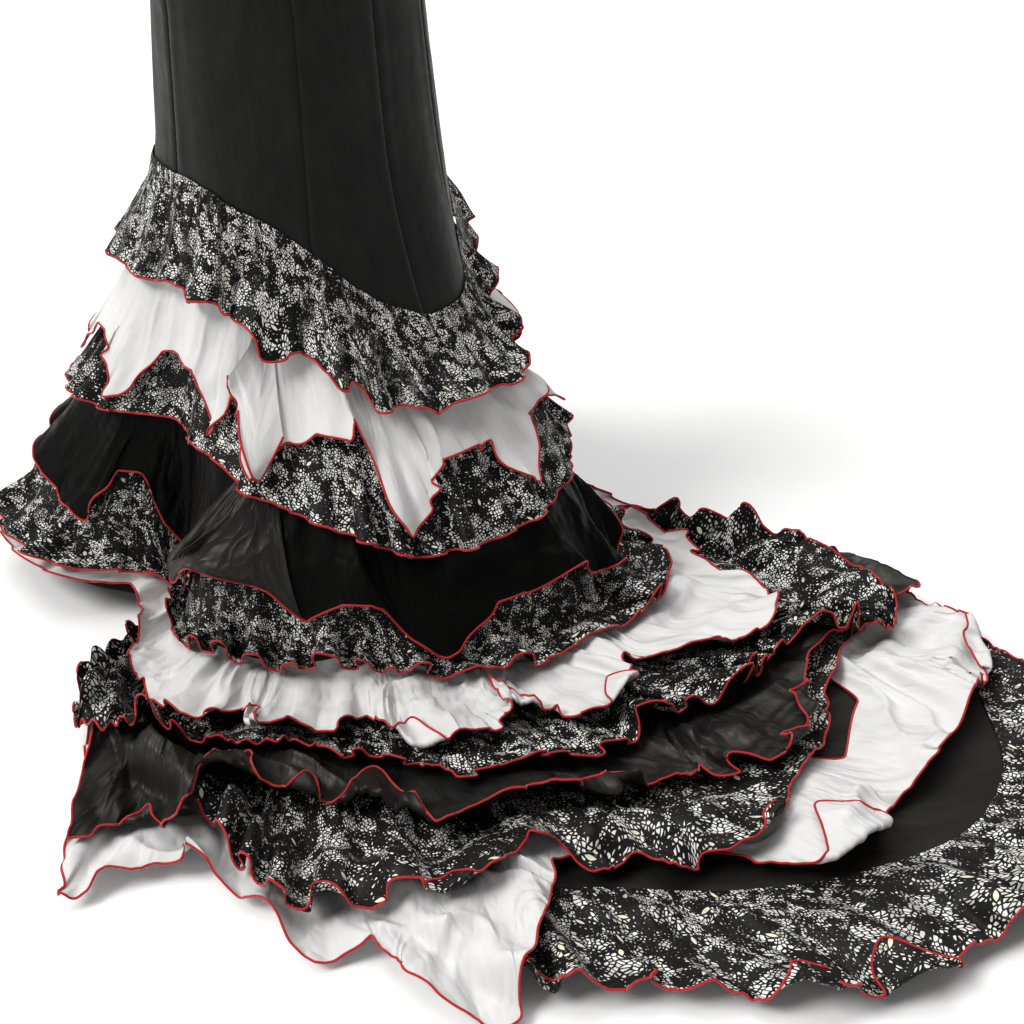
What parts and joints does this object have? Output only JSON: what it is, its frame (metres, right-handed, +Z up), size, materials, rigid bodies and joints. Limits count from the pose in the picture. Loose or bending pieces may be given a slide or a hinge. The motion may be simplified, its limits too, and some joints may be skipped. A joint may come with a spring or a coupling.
{
  "type": "flamenco dress with long train",
  "caption": "Floor-length flared sheath dress with a long train, covered below the thigh in layered gathered ruffles of printed, white and black crepe.",
  "frame": {"origin": "midway between the two shoulder straps at mid-shoulder height, where the wearer holds the dress up", "axes": "+Z up, -Y the way the wearer faces, +Y along the train, +X to the wearer's left"},
  "size_m": [1.2269, 1.6927, 1.4034],
  "materials": {
    "crepe_black": "matte",
    "crepe_white": "matte",
    "print_crepe": "matte"
  },
  "bodies": {
    "root": {"panel_back_left": "crepe_black", "panel_side_back_left": "crepe_black", "panel_side_front_left": "crepe_black", "panel_centre_front": "crepe_black", "panel_side_front_right": "crepe_black", "panel_side_back_right": "crepe_black", "panel_back_right": "crepe_black", "base_train_left": "crepe_black", "base_skirt_front": "crepe_black", "base_train_right": "crepe_black", "tier_04_black": "crepe_black", "tier_08_black": "crepe_black", "tier_02_white": "crepe_white", "tier_06_white": "crepe_white", "tier_10_white": "crepe_white", "tier_01_print": "print_crepe", "tier_03_print": "print_crepe", "tier_05_print": "print_crepe", "tier_07_print": "print_crepe", "tier_09_print": "print_crepe", "tier_11_print": "print_crepe"}
  },
  "joints": []
}
